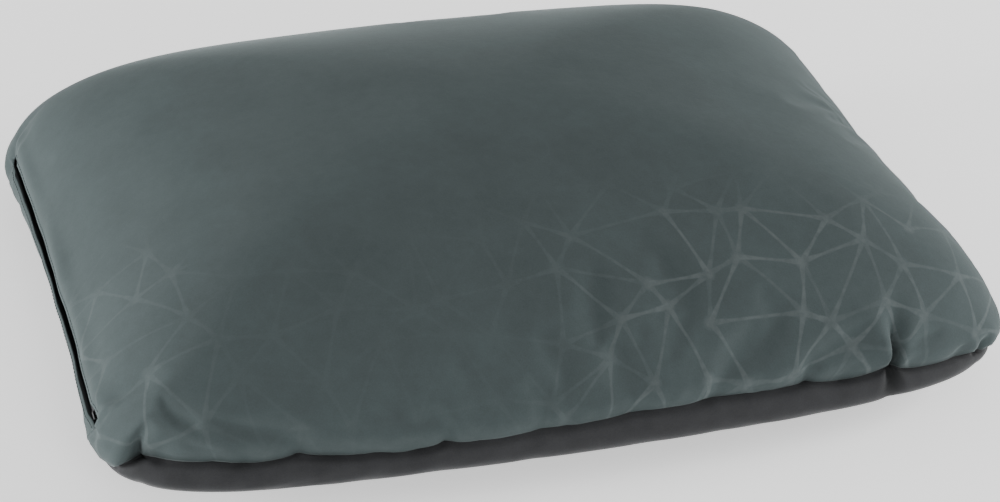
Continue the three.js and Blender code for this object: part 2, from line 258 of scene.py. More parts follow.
def with_context(grid, other):
    """A panel's grid with one more row all round, taken from the panel on the seam's far side."""
    padded = np.empty((COUNT + 2, COUNT + 2) + grid.shape[2:])
    padded[1:-1, 1:-1] = grid
    padded[0, 1:-1], padded[-1, 1:-1] = other[1], other[-2]
    padded[1:-1, 0], padded[1:-1, -1] = other[:, 1], other[:, -2]
    for i, j in ((0, 0), (0, -1), (-1, 0), (-1, -1)):
        padded[i, j] = other[1 if i == 0 else -2, 1 if j == 0 else -2]
    return padded


def blurred(grid, other):
    padded = with_context(grid, other)
    padded = (padded[:-2] + 2 * padded[1:-1] + padded[2:]) / 4
    return (padded[:, :-2] + 2 * padded[:, 1:-1] + padded[:, 2:]) / 4


def relax_cover(top, base):
    """Inflates both panels together as cloth with a tight seam, and gives them back."""
    index_top = np.arange(COUNT * COUNT).reshape(COUNT, COUNT)
    inside = GRID_RING < RINGS
    index_base = index_top.copy()
    index_base[inside] = COUNT * COUNT + np.arange(inside.sum())
    points = np.concatenate([top.reshape(-1, 3), base[inside]])
    obj = new_mesh("cover_cloth", points, np.concatenate([quads(index_top), quads(index_base, flip=True)]))
    tight = obj.vertex_groups.new(name="tight")
    tight.add(index_top[GRID_RING >= RINGS - 1].tolist(), 1.0, "REPLACE")
    tight.add(index_base[GRID_RING == RINGS - 1].tolist(), 1.0, "REPLACE")
    held = obj.vertex_groups.new(name="held")
    held.add(index_base[GRID_RING < RINGS * 0.4].tolist(), 1.0, "REPLACE")
    zip_band = (GRID_P <= -1 + 5.5 / RINGS) & (np.abs(top[..., 1] - CENTRE_Y) < SLOT_HALF_LENGTH)
    held.add(index_top[zip_band].tolist(), 1.0, "REPLACE")
    cloth = obj.modifiers.new("Cloth", "CLOTH").settings
    cloth.quality = 5
    cloth.mass = 0.3
    cloth.air_damping = 5
    cloth.tension_stiffness = cloth.compression_stiffness = 15
    cloth.shear_stiffness = 5
    cloth.bending_stiffness = 2
    cloth.use_pressure = True
    cloth.uniform_pressure_force = SWELL_PRESSURE
    cloth.effector_weights.gravity = 0
    cloth.vertex_group_mass = "held"
    cloth.vertex_group_shrink = "tight"
    cloth.shrink_min = 0
    cloth.shrink_max = SEAM_SHRINK
    scene = bpy.context.scene
    for number in range(1, SWELL_FRAMES + 1):
        scene.frame_set(number)
    graph = bpy.context.evaluated_depsgraph_get()
    relaxed = coordinates(obj.evaluated_get(graph).to_mesh())
    scene.frame_set(1)
    mesh = obj.data
    bpy.data.objects.remove(obj)
    bpy.data.meshes.remove(mesh)
    move = relaxed - points
    moves = move[index_top], move[index_base]
    broad = moves
    for _ in range(BROAD_PASSES):
        broad = blurred(broad[0], broad[1]), blurred(broad[1], broad[0])
    out = []
    for panel, own, slow, gain in zip((top, base), moves, broad, WRINKLE_GAINS):
        taut = smooth((TAUT_PLACE[0] - panel[..., :1]) / TAUT_FADE[0])
        taut = taut * smooth((panel[..., 1:2] - TAUT_PLACE[1]) / TAUT_FADE[1])
        own = gain * (1 - taut) * (own - slow) + BROAD_GAIN * slow
        far = np.linalg.norm(own, axis=-1, keepdims=True)
        panel = panel + own * SWELL_CAP * np.tanh(far / SWELL_CAP) / np.maximum(far, 1e-9)
        panel[..., 2] = np.maximum(panel[..., 2], 0)
        out.append(panel)
    seam = (out[0] + out[1])[GRID_RING == RINGS] / 2
    for panel in out:
        panel[GRID_RING == RINGS] = seam
    return out


# ---- finer grids and closed sheets ----
def refine_axis(padded):
    """Adds cubic mid values along the first axis, whose two outermost values are only context."""
    fine = np.empty((2 * (len(padded) - 2) - 1,) + padded.shape[1:])
    fine[0::2] = padded[1:-1]
    fine[1::2] = (9 * (padded[1:-2] + padded[2:-1]) - padded[:-3] - padded[3:]) / 16
    return fine


def refined(grid, other):
    """Twice as fine, and smooth across the seam, where other is the panel on its far side."""
    return refine_axis(refine_axis(with_context(grid, other)).swapaxes(0, 1)).swapaxes(0, 1)


def doubled(grid):
    """Twice as fine, with plain mid values."""
    for axis in (0, 1):
        grid = grid.swapaxes(0, axis)
        fine = np.empty((2 * len(grid) - 1,) + grid.shape[1:])
        fine[0::2] = grid
        fine[1::2] = (grid[:-1] + grid[1:]) / 2
        grid = fine.swapaxes(0, axis)
    return grid


def grid_normals(grid, side=1):
    """Unit normals of a grid's points, from the diagonals of the cells round each."""
    cell = np.cross(grid[1:, 1:] - grid[:-1, :-1], grid[:-1, 1:] - grid[1:, :-1])
    padded = np.pad(cell, ((1, 1), (1, 1), (0, 0)))
    return unit(padded[:-1, :-1] + padded[1:, :-1] + padded[1:, 1:] + padded[:-1, 1:]) * side


def rim_edges(index, mask):
    """Directed edges round a mask of cells, each as the two grid points that it joins."""
    edges = []
    padded = np.pad(mask, 1)
    for di, dj, first, second in ((0, -1, (0, 0), (1, 0)), (1, 0, (1, 0), (1, 1)),
                                  (0, 1, (1, 1), (0, 1)), (-1, 0, (0, 1), (0, 0))):
        open_side = mask & ~padded[1 + di:1 + di + mask.shape[0], 1 + dj:1 + dj + mask.shape[1]]
        i, j = np.nonzero(open_side)
        edges.append(np.stack([index[i + first[0], j + first[1]], index[i + second[0], j + second[1]]], -1))
    return np.concatenate(edges)


def closed_sheet(grid, mask, thickness, side=1):
    """The masked cells as a sheet: points, faces (outer, inner, rim), how many are in the rim,
    and the grid point that each point comes from."""
    rows, columns = grid.shape[:2]
    index = np.arange(rows * columns).reshape(rows, columns)
    inner = grid - grid_normals(grid, side) * thickness
    points = np.concatenate([grid.reshape(-1, 3), inner.reshape(-1, 3)])
    shift = rows * columns
    outer_faces = quads(index, mask, side < 0)
    edges = rim_edges(index, mask)
    rim = np.stack([edges[:, 1], edges[:, 0], edges[:, 0] + shift, edges[:, 1] + shift], -1)
    rim = rim[:, ::-1] if side < 0 else rim
    faces = np.concatenate([outer_faces, outer_faces[:, ::-1] + shift, rim])
    used = np.unique(faces)
    lookup = np.zeros(len(points), int)
    lookup[used] = np.arange(len(used))
    return points[used], lookup[faces], len(rim), used % shift


def merged(parts):
    """One list of points, one of faces and one of which faces are smooth, from several sheets."""
    points, faces, rounded, start = [], [], [], 0
    for part_points, part_faces, rim_count in parts:
        points.append(part_points)
        faces.append(np.asarray(part_faces) + start)
        rounded.append(np.arange(len(part_faces)) < len(part_faces) - rim_count)
        start += len(part_points)
    return np.concatenate(points), np.concatenate(faces), np.concatenate(rounded)


# ---- folds, made after the simulation ----
WALL_TUCK = 4.5 * MM  # how far the wall below the zip turns in
SEAM_SHADE = 2.0 * MM  # height of the painted shade line along the seam
# reliefs along the seam: how high or deep, how far from the seam, and how wide
SEAM_GROOVE = (2.6 * MM, 0, 3.0 * MM)
SEAM_PUFF = (2.0 * MM, 9 * MM, 8 * MM)
SEAM_LAP = (1.7 * MM, 2.2 * MM, 2.8 * MM)  # how far the top panel hangs over the seam
BASE_RECESS = (1.6 * MM, 0, 9 * MM)
# a fold: how far from its foot it reaches, and widths as multiples of its own
FOLD_REACH = 70 * MM
FOLD_REACH_FADE = 30 * MM
FOLD_SPREAD = 1.2  # how much wider it is at its end
SHOULDER_PLACE, SHOULDER_WIDTH = 2.6, 1.4
PINCH_WIDTH = 4.5
SHADE_WIDTH = 2.4
LIFT_WIDTH, LIFT_HEIGHT = 8 * MM, 30 * MM


class Fold:
    """A crease across the seam: its place along the seam from the middle of a side, how far up and
    down it runs, its depth and width, how much it draws the fabric together and lifts the seam."""

    def __init__(self, side, place, up, down, depth, width, lean=0.0, pinch=0.0, lift=0.0):
        self.side = side
        self.place, self.up, self.down = place * MM, up * MM, down * MM
        self.depth, self.width, self.lean = depth * MM, width * MM, lean
        self.pinch, self.lift = pinch, lift * MM


MAIN_FOLDS = [
    Fold("front", 181, 46, 22, 11.0, 3.2, 0.10, 0.62, 8.0),
    Fold("front", -254, 22, 9, 5.5, 3.2, 0.2, 0.4, 4.0),
    Fold("front", 250, 16, 8, 4.0, 2.8, 0.0, 0.4, 2.0),
    Fold("front", 129, 26, 5, 1.8, 3.0, 0.05, 0.2, 1.0),
    Fold("front", -167, 16, 6, 1.8, 3.0, -0.1, 0.2, 1.0),
    Fold("front", -84, 20, 5, 1.8, 3.2, 0.1, 0.2, 1.0),
    Fold("back", 190, 36, 20, 5.5, 4.0, 0.1, 0.3, 3.0),
    Fold("back", -212, 24, 12, 4.0, 3.5, 0.0, 0.3, 2.0),
    Fold("right", -120, 22, 10, 2.0, 3.5, 0.0, 0.2, 1.0),
    Fold("right", 140, 26, 12, 4.0, 3.5, 0.0, 0.3, 2.0),
]
FOLD_COUNT = 70  # small folds, scattered round the seam
FOLD_SEED = 11
FOLD_SIDES = {"front": 0.36, "back": 0.32, "right": 0.2, "left": 0.12}  # share of the folds
LONG_SIDE_REACH, SHORT_SIDE_REACH = 262, 180


def all_folds():
    draw = np.random.default_rng(FOLD_SEED)
    folds = list(MAIN_FOLDS)
    for _ in range(FOLD_COUNT):
        side = list(FOLD_SIDES)[draw.choice(len(FOLD_SIDES), p=tuple(FOLD_SIDES.values()))]
        reach = LONG_SIDE_REACH if side in ("front", "back") else SHORT_SIDE_REACH
        place = reach * draw.uniform(-1, 1)
        up, down = draw.uniform(10, 42), draw.uniform(3, 9)
        depth, width, lean = draw.uniform(0.3, 1.1), draw.uniform(2.6, 5.5), draw.uniform(-0.35, 0.35)
        folds.append(Fold(side, place, up, down, depth, width, lean))
    return folds


def seam_feet():
    """For each point of a fine grid, the point of the seam at the foot of its column."""
    steps = np.arange(FINE) - MIDDLE
    direction = np.stack(np.meshgrid(steps, steps, indexing="ij"), -1)
    direction[MIDDLE, MIDDLE] = (1, 0)
    reach = np.abs(direction).max(-1, keepdims=True)
    foot = np.rint(direction * MIDDLE / reach).astype(int) + MIDDLE
    return foot[..., 0], foot[..., 1]


FEET = seam_feet()


def seam_walk(grid):
    """Points round the seam, how far round each is, the way the seam runs there, and its length.
    The walk goes along the front, up the right, back and down the left."""
    last = FINE - 1
    up = np.arange(last)
    rows = np.concatenate([up, np.full(last, last), last - up, np.zeros(last, int)])
    columns = np.concatenate([np.zeros(last, int), up, np.full(last, last), last - up])
    loop = grid[rows, columns]
    steps = np.linalg.norm(np.roll(loop, -1, axis=0) - loop, axis=1)
    run = np.concatenate([[0], np.cumsum(steps)[:-1]])
    way = (np.roll(loop, -1, axis=0) - np.roll(loop, 1, axis=0)) * (1, 1, 0)
    return loop, run, unit(way), steps.sum()


def ridge(rise, shape):
    """The height of a relief along the seam, at a rise above or below it."""
    height, place, width = shape
    return height * bell((rise - place) / width)


def fold_press(grid, seam_grid, side, folds):
    """How far out the folds, the seam's groove and the puff beside it press a panel, how far they
    draw it along and up, and how much painted shade darkens it there, from 0 to 1."""
    rise = np.abs(grid[..., 2] - seam_grid[FEET][..., 2])
    loop, run, way, length_round = seam_walk(seam_grid)
    last = FINE - 1
    middles = {"front": (MIDDLE, 1), "right": (last + MIDDLE, 1),
               "back": (2 * last + MIDDLE, -1), "left": (3 * last + MIDDLE, -1)}
    press = np.zeros(grid.shape[:2])
    drawn = np.zeros(grid.shape)
    # painted shade: a darker line along the seam, at half strength
    painted_shade = 0.5 * bell(rise / SEAM_SHADE)
    swelling, gather, shade_reach = (0.3, 1.0, 0.55) if side > 0 else (0.0, 0.5, 2.2)
    for fold in folds:
        middle, sign = middles[fold.side]
        target = (run[middle] + sign * fold.place) % length_round
        foot = np.argmin(np.abs(run - target))
        away = (grid - loop[foot]) * (1, 1, 0)
        near = 1 - smooth((np.linalg.norm(away, axis=-1) - FOLD_REACH) / FOLD_REACH_FADE)
        offset = sign * away @ way[foot] - fold.lean * rise
        length = fold.up if side > 0 else fold.down
        fade = near * (1 - smooth(rise / length))
        width = fold.width * (1 + FOLD_SPREAD * rise / length)
        valley = fold.depth * bell(offset / width)
        shoulder = bell((np.abs(offset) - SHOULDER_PLACE * width) / (SHOULDER_WIDTH * width))
        press += fade * (swelling * fold.depth * shoulder - valley)
        # painted shade in the valleys of the deeper folds, reaching shade_reach times the fold's length
        deep = smooth((fold.depth - 2 * MM) / (6 * MM))
        painted_fold_shade = near * (1 - smooth(rise / (shade_reach * length))) * deep
        painted_shade = painted_shade + painted_fold_shade * bell(offset / (SHADE_WIDTH * fold.width))
        pull = gather * fold.pinch * bell(offset / (PINCH_WIDTH * width)) * fade * sign * offset
        drawn -= pull[..., None] * way[foot]
        lifted = near * fold.lift * np.exp(-np.abs(offset) / LIFT_WIDTH)
        drawn[..., 2] += lifted * (1 - smooth(rise / LIFT_HEIGHT))
    press -= ridge(rise, SEAM_GROOVE) + zip_wall_tuck(grid)
    if side > 0:
        drawn[..., 2] -= ridge(rise, SEAM_LAP)
        press = press + ridge(rise, SEAM_PUFF)
    else:
        press = press - ridge(rise, BASE_RECESS)
    return press, drawn, np.minimum(painted_shade, 1)


def zip_wall_tuck(grid):
    """How far the wall below the zip turns in under it, most of all towards the front."""
    x, y, z = grid[..., 0], grid[..., 1], grid[..., 2]
    along = smooth((SLOT_HALF_LENGTH - np.abs(y)) / (40 * MM))
    along = along * (0.35 + 0.65 * smooth((70 * MM - y) / (120 * MM)))
    below = smooth((38 * MM - z) / (12 * MM))
    return WALL_TUCK * along * below * smooth(z / (27 * MM)) * (x < -200 * MM)


# ---- zip opening ----
LIP_BAND = 18  # rows above the slot that move with its upper lip
LIP_PUFFS = {1: 1.9 * MM, -1: 0.9 * MM}  # swelling beside the upper lip and beside the lower
LIP_PUFF_ROW, LIP_PUFF_ROWS = 4.5, 3.5  # where it is, in rows from the lip, and how wide
HEM_CLEAR = 4.1 * MM  # height that the hem takes to pass the slider's plates


def zip_point(depth, y, height):
    """A point from its depth below the cover's plane at the zip, place along it and height."""
    depth, y, height = (value[..., None] for value in np.broadcast_arrays(depth, y, height))
    return ZIP_SEAT + depth * ZIP_IN + y * np.array((0, 1, 0)) + height * ZIP_UP


def slot_columns(grid):
    inside = np.nonzero(np.abs(grid[UPPER_LIP - 1, :, 1]) < SLOT_HALF_LENGTH)[0]
    first, last = inside[0] + inside[0] % 2, inside[-1] - inside[-1] % 2
    return first, last


def slot_gap(y):
    return SLOT_HALF_GAP * smooth((SLOT_HALF_LENGTH + 0.5 * MM - np.abs(y)) / (5 * MM))


def lip_height(y, sign):
    """Height of a lip's edge from the zip's middle: half the gap, and the slack fabric's wave."""
    wave = 0.55 * MM * np.sin(y / (14 * MM)) + 0.35 * MM * np.sin(y / (6.3 * MM) + 1)
    return sign * slot_gap(y) + wave * smooth(slot_gap(y) / SLOT_HALF_GAP)


def lip_depth(grid, columns):
    """Depth of the lips: half way between the cover's bow and the straight zip, and flatter at the
    ends, where the pull swings over them."""
    surface = (grid[UPPER_LIP - 1, columns] - ZIP_SEAT) @ ZIP_IN
    end = smooth((np.abs(grid[UPPER_LIP - 1, columns, 1]) - 128 * MM) / (12 * MM))
    return np.clip(surface * 0.5, (1.8 * end - 2.2) * MM, 0.35 * MM)


def open_slot(grid):
    """Brings the lips of the zip's opening together along the zip, and the fabric with them."""
    first, last = slot_columns(grid)
    columns = np.arange(first, last + 1)
    depth = lip_depth(grid, columns)
    y = grid[UPPER_LIP - 1, columns, 1]
    out = grid.copy()
    upper_rows, lower_rows = range(UPPER_LIP, UPPER_LIP + LIP_BAND), range(1, LOWER_LIP + 1)
    for lip, sign, rows in ((UPPER_LIP, 1, upper_rows), (LOWER_LIP, -1, lower_rows)):
        target = zip_point(depth, y, lip_height(y, sign))
        move = target - grid[lip, columns]
        for row in rows:
            share = 1 - smooth(abs(row - lip) / (LIP_BAND if sign > 0 else LOWER_LIP))
            out[row, columns] += share * move
            for edge, direction, end_move in ((first, -1, move[0]), (last, 1, move[-1])):
                for step in range(1, SLOT_TAPER):
                    out[row, edge + direction * step] += share * (1 - smooth(step / SLOT_TAPER)) * end_move
            puff = LIP_PUFFS[sign] * bell((abs(row - lip) - LIP_PUFF_ROW) / LIP_PUFF_ROWS)
            puff = puff * smooth(slot_gap(y) / SLOT_HALF_GAP)
            ripple = 1 + 0.3 * np.sin(y / (23 * MM) + 2 * sign) + 0.2 * np.sin(y / (13.1 * MM) + sign)
            out[row, columns] -= (puff * ripple)[:, None] * ZIP_IN
    out[UPPER_LIP - 1, columns] = (out[UPPER_LIP, columns] + out[LOWER_LIP, columns]) / 2
    return out, columns, depth


def hem(y, depth, sign):
    """The turned-in edge of a lip, from the lip back over the slider's plates to the tape."""
    edge = lip_height(y, sign)
    clear = sign * HEM_CLEAR
    rows = [
        zip_point(depth + 0.30 * MM, y, edge),
        zip_point(np.maximum(depth + 0.55 * MM, 0.75 * MM), y, edge + sign * 0.15 * MM),
        zip_point(1.0 * MM, y, edge + 0.35 * (clear - edge)),
        zip_point(1.1 * MM, y, clear),
        zip_point(2.4 * MM, y, clear + sign * 0.25 * MM),
        zip_point(4.2 * MM, y, clear + sign * 0.8 * MM),
    ]
    grid = np.stack(rows)
    return closed_sheet(grid, np.ones((grid.shape[0] - 1, grid.shape[1] - 1), bool), 0.12 * MM)[:3]


# ---- build the cover ----
top, turn_top, climb_top = panel_grid(1)
base, _, _ = panel_grid(-1)
form = {1: top, -1: base}  # the designed form of each panel: side 1 is the top, -1 the base
top, base = relax_cover(top, base)
fine_top, fine_base = refined(top, base), refined(base, top)

folds = all_folds()
seam_form = fine_top
press_top, drawn_top, painted_shade_top = fold_press(fine_top, seam_form, 1, folds)
press_base, drawn_base, painted_shade_base = fold_press(fine_base, seam_form, -1, folds)
fine_top = fine_top + grid_normals(fine_top) * press_top[..., None] + drawn_top
fine_base = fine_base + grid_normals(fine_base, -1) * press_base[..., None] + drawn_base
fine_top[..., 2] = np.maximum(fine_top[..., 2], 0)
fine_base[..., 2] = np.maximum(fine_base[..., 2], 0)
shared = ABOVE_SEAM == 0
seam_points = (fine_top[shared] + fine_base[shared]) / 2
fine_top[shared] = seam_points
fine_base[shared] = seam_points
fine_top, slot, slot_depth = open_slot(fine_top)
covers = {1: fine_top, -1: fine_base}

cells = np.ones((FINE - 1, FINE - 1), bool)
facing_cells = np.zeros_like(cells)
facing_cells[:LOWER_LIP, slot[0]:slot[-1]] = True
slot_cells = np.zeros_like(cells)
slot_cells[LOWER_LIP:UPPER_LIP, slot[0]:slot[-1]] = True
slot_y = fine_top[UPPER_LIP, slot, 1]

PIECES = {}  # every new piece by its name
LOOKS = {}  # and the material that it gets


def enlist(obj, body, slot_name, node=None, look=None):
    """Puts a new piece on its body, in place of a node if it stands for one, and notes its material: the slot's
    own unless a look is given.
    """
    PIECES[obj.name] = obj
    LOOKS[obj.name] = look or slot_name
    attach(obj, body)
    if node:
        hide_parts(node)
    return obj


# ---- print ----
# A faint net of lines between scattered hubs. Each face of the mesh holds the lines nearest to it,
# so the material draws them at their true width from a few sums.
PRINT_CELL = (35 * MM, 30 * MM)
PRINT_ROWS, PRINT_COLUMNS = 25, 27
PRINT_SCATTER = 0.36
PRINT_SEED = 5
LINES_PER_FACE = 3
PRINT_BACK = -88 * MM  # the print starts this far back, and further back at the left end
PRINT_BACK_FADE = 60 * MM
PRINT_LEFT_END = 180 * MM
PRINT_LEFT_GAIN = 0.45


def unrolled_panel():
    """Fabric coordinates of the top panel: direction from the crown times distance along the cloth."""
    steps = 32
    crown = math.pi / 2
    previous = pillow_point(turn_top, np.full_like(turn_top, crown))
    reach = np.zeros_like(turn_top)
    for step in range(1, steps + 1):
        point = pillow_point(turn_top, crown + (climb_top - crown) * step / steps)
        reach += np.linalg.norm(point - previous, axis=-1)
        previous = point
    way = unit(previous[..., :2] - (0, CENTRE_Y))
    return doubled(np.concatenate([way * reach[..., None], np.ones_like(reach)[..., None]], -1))


def print_net():
    """Hubs and links of the net, with each link's strength."""
    draw = np.random.default_rng(PRINT_SEED)
    rows, columns = np.meshgrid(np.arange(PRINT_ROWS), np.arange(PRINT_COLUMNS), indexing="ij")
    hubs = np.stack([columns + 0.5 * (rows % 2) - PRINT_COLUMNS / 2, rows - PRINT_ROWS / 2], -1)
    hubs = (hubs + draw.uniform(-PRINT_SCATTER, PRINT_SCATTER, hubs.shape)) * PRINT_CELL
    starts, ends = [], []
    for row in range(PRINT_ROWS - 1):
        for column in range(1, PRINT_COLUMNS - 1):
            lean = column + (1 if row % 2 else 0)
            for other in (hubs[row, column + 1], hubs[row + 1, lean], hubs[row + 1, lean - 1]):
                starts.append(hubs[row, column])
                ends.append(other)
    starts, ends = np.array(starts), np.array(ends)
    strength = draw.uniform(0.35, 1.0, len(starts)) * (draw.random(len(starts)) > 0.1)
    return hubs.reshape(-1, 2), starts, ends, strength


def print_strength(points):
    """Strongest on the front at the right, weaker at the left, and nothing towards the back."""
    x, y = points[..., 0], points[..., 1]
    limit = PRINT_BACK + 70 * MM * smooth((-x - PRINT_LEFT_END) / (50 * MM))
    front = smooth((limit - y) / PRINT_BACK_FADE)
    right = 0.16 + 0.84 * smooth((x + 55 * MM) / (110 * MM))
    return front * (right + PRINT_LEFT_GAIN * smooth((-x - 190 * MM) / (45 * MM)))


def cell_centres(grid, mask):
    return (grid[:-1, :-1] + grid[1:, :-1] + grid[1:, 1:] + grid[:-1, 1:])[mask] / 4


def print_on(obj, mask, source):
    """Gives the faces of a sheet their nearest lines and hub, and its points their fabric place."""
    place = cell_centres(fabric_place, mask)[:, :2]
    shown = print_strength(cell_centres(fine_top, mask))
    hubs, starts, ends, strength = print_net()
    along = ends - starts
    length = np.linalg.norm(along, axis=1)
    along = along / length[:, None]
    count = len(obj.data.polygons)
    lines = np.zeros((LINES_PER_FACE, count, 3))
    lines[..., 2] = 1
    gains, nearest = np.zeros((count, 3)), np.zeros((count, 3))
    for chunk in np.array_split(np.nonzero(shown > 0.01)[0], 40):
        offset = place[chunk, None] - starts
        run = (offset * along).sum(-1)
        beyond = (run < -1.5 * MM) | (run > length + 1.5 * MM) | (strength == 0)
        run = np.clip(run, 0, length)
        away = np.linalg.norm(offset - run[..., None] * along, axis=-1) + beyond
        order = np.argsort(away, axis=1)[:, :LINES_PER_FACE]
        for rank in range(LINES_PER_FACE):
            pick = order[:, rank]
            across = np.stack([-along[pick, 1], along[pick, 0]], -1)
            close = np.take_along_axis(away, order, 1)[:, rank] < 6 * MM
            line = np.concatenate([across, -(across * starts[pick]).sum(-1, keepdims=True)], -1)
            lines[rank, chunk] = np.where(close[:, None], line, (0, 0, 1))
            gains[chunk, rank] = strength[pick] * shown[chunk]
        hub = np.argmin(np.linalg.norm(place[chunk, None] - hubs, axis=-1), axis=1)
        nearest[chunk, :2] = hubs[hub]
        nearest[chunk, 2] = shown[chunk]
    for rank in range(LINES_PER_FACE):
        face_vectors(obj, "print_line_%d" % rank, lines[rank])
    face_vectors(obj, "print_gains", gains)
    face_vectors(obj, "print_hub", nearest)
    spot = np.zeros((len(obj.data.vertices), 3))
    spot[:len(source)] = fabric_place.reshape(-1, 3)[source]
    attribute = obj.data.attributes.new("fabric_place", "FLOAT_VECTOR", "POINT")
    attribute.data.foreach_set("vector", spot.reshape(-1))


def painted_shade_on(obj, painted_shade, source):
    """Marks the points of a sheet that lie in a fold or at the seam, where painted shade makes its colour darker.
    """
    attribute = obj.data.attributes.new("painted_shade", "FLOAT", "POINT")
    attribute.data.foreach_set("value", painted_shade.reshape(-1)[source])


def face_vectors(obj, name, values):
    attribute = obj.data.attributes.new(name, "FLOAT_VECTOR", "FACE")
    attribute.data.foreach_set("vector", values.reshape(-1))


fabric_place = unrolled_panel()


def add_sheet(name, slot_name, sheet, node=None):
    return enlist(new_mesh(name, *merged([sheet])), "pillow", slot_name, node)


def make_cover():
    main = cells & ~facing_cells & ~slot_cells
    for name, mask, node in (("top_cover_fabric", main, "top_cover"),
                             ("zip_facing_fabric", facing_cells, "zip_facing")):
        sheet = closed_sheet(fine_top, mask, COVER_THICKNESS)
        obj = add_sheet(name, "brushed_knit", sheet[:3], node)
        print_on(obj, mask, sheet[3])
        painted_shade_on(obj, painted_shade_top, sheet[3])
    add_sheet("zip_hem_upper", "zip_tape", hem(slot_y, slot_depth, 1))
    add_sheet("zip_hem_lower", "zip_tape", hem(slot_y, slot_depth, -1))
    under = closed_sheet(fine_base, cells, COVER_THICKNESS, -1)
    obj = add_sheet("base_cover_fabric", "base_fabric", under[:3], "base_cover")
    painted_shade_on(obj, painted_shade_base, under[3])


def inner_grid(smooth_grid, cover, side, depth):
    """A layer a given depth inside a panel's designed form, pressed further in where the cover is."""
    normal = grid_normals(smooth_grid, side)
    dent = np.minimum(((cover - smooth_grid) * normal).sum(-1), 0)
    for _ in range(3):
        padded = np.pad(dent, 1, mode="edge")
        rows = np.minimum(np.minimum(padded[:-2], padded[1:-1]), padded[2:])
        dent = np.minimum(np.minimum(rows[:, :-2], rows[:, 1:-1]), rows[:, 2:])
    inside = smooth_grid + normal * (dent - depth)[..., None]
    inside[..., 2] = np.maximum(inside[..., 2], 0.2 * depth)
    return inside


def make_lining():
    for node, side in (("liner_upper", 1), ("liner_lower", -1)):
        inside = inner_grid(form[side], covers[side][::2, ::2], side, LINER_DEPTH)
        sheet = closed_sheet(inside, np.ones((COUNT - 1, COUNT - 1), bool), LINER_THICKNESS, side)
        add_sheet(node + "_fabric", "liner_fabric", sheet[:3], node)
    tape = inner_grid(refined(form[-1], form[1]), covers[-1], -1, 1.5 * MM)
    rows = (ABOVE_SEAM[:-1, :-1] < 5) | (ABOVE_SEAM[1:, 1:] < 5)
    corner = tape[:-1, :-1]
    behind_zip = (corner[..., 0] < -HALF_LENGTH * 0.8) & (np.abs(corner[..., 1]) < SLOT_HALF_LENGTH)
    binding = closed_sheet(tape, rows & ~behind_zip, 0.7 * MM, -1)
    add_sheet("seam_binding_tape", "binding_tape", binding[:3], "seam_binding")


def make_foam():
    """The core: a closed body inside the liner, with the model's own through holes."""
    skins = []
    for side in (1, -1):
        inside = inner_grid(form[side], covers[side][::2, ::2], side, FOAM_DEPTH)[::2, ::2]
        index = np.arange(inside[..., 0].size).reshape(inside.shape[:2])
        skins.append((inside.reshape(-1, 3), quads(index, flip=side < 0), 0))
    seam = (GRID_RING == RINGS)[::2, ::2].reshape(-1)
    joint = (skins[0][0][seam] + skins[1][0][seam]) / 2
    for points, _, _ in skins:
        points[seam] = joint
    body = new_mesh("foam_core_block", *merged(skins))
    work = bmesh.new()
    work.from_mesh(body.data)
    bmesh.ops.remove_doubles(work, verts=work.verts, dist=0.01 * MM)
    work.to_mesh(body.data)
    work.free()
    drills = bmesh.new()
    for column in range(CORING_COLUMNS):
        for row in range(CORING_ROWS):
            x = (column - (CORING_COLUMNS - 1) / 2) * CORING_PITCH
            y = (row - (CORING_ROWS - 1) / 2) * CORING_PITCH
            bmesh.ops.create_cone(drills, cap_ends=True, segments=32, radius1=CORING_RADIUS,
                                  radius2=CORING_RADIUS, depth=0.4, matrix=Matrix.Translation((x, y, 0.05)))
    drill_mesh = bpy.data.meshes.new("drills")
    drills.to_mesh(drill_mesh)
    drills.free()
    drill = add_object("drills", drill_mesh)
    cut = body.modifiers.new("holes", "BOOLEAN")
    cut.operation = "DIFFERENCE"
    cut.solver = "MANIFOLD"
    cut.object = drill
    graph = bpy.context.evaluated_depsgraph_get()
    mesh = bpy.data.meshes.new_from_object(body.evaluated_get(graph), depsgraph=graph)
    body.modifiers.clear()
    old, body.data = body.data, mesh
    bpy.data.meshes.remove(old)
    bpy.data.objects.remove(drill)
    bpy.data.meshes.remove(drill_mesh)
    body.data.name = "foam_core_block"
    enlist(body, "pillow", "foam", "foam_core")


make_cover()
make_lining()
make_foam()


# ---- zip ----
COIL_PITCH = 1.25 * MM
COIL_WIRE = 0.27 * MM  # radius of the coil's wire
COIL_STEPS = 12  # points to a turn
COIL_HEAD, COIL_HEEL = -0.25 * MM, 2.0 * MM  # how far each turn reaches from the middle of the zip
COIL_DEPTH = 3.4 * MM
COIL_HALF_DEPTH = 0.5 * MM
STITCH_PITCH = 3.4 * MM
STITCH_LENGTH = 2.6 * MM
STITCH_RADIUS = 0.28 * MM
STITCH_ARCH = (0.7, 0, -0.2, 0, 0.7)  # depth along a stitch, in radii: its ends dive in
METAL_ROUNDING = 0.16 * MM


def coil_points(node, side):
    """The helix of one side of the chain, flattened, with its heads reaching past the middle."""
    low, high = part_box(node)
    start, end = low[1] + COIL_WIRE, high[1] - COIL_WIRE
    turns = int((end - start) / COIL_PITCH)
    t = np.arange(turns * COIL_STEPS + 1) / COIL_STEPS
    angle = 2 * np.pi * t
    y = start + t * COIL_PITCH + (COIL_PITCH / 2 if side > 0 else 0)
    y = np.clip(y, start, end)
    across = (COIL_HEAD + COIL_HEEL) / 2 - (COIL_HEEL - COIL_HEAD) / 2 * np.cos(angle)
    through = COIL_DEPTH - COIL_HALF_DEPTH * signed_power(np.sin(angle), 0.8)
    return zip_point(through, y, side * across)


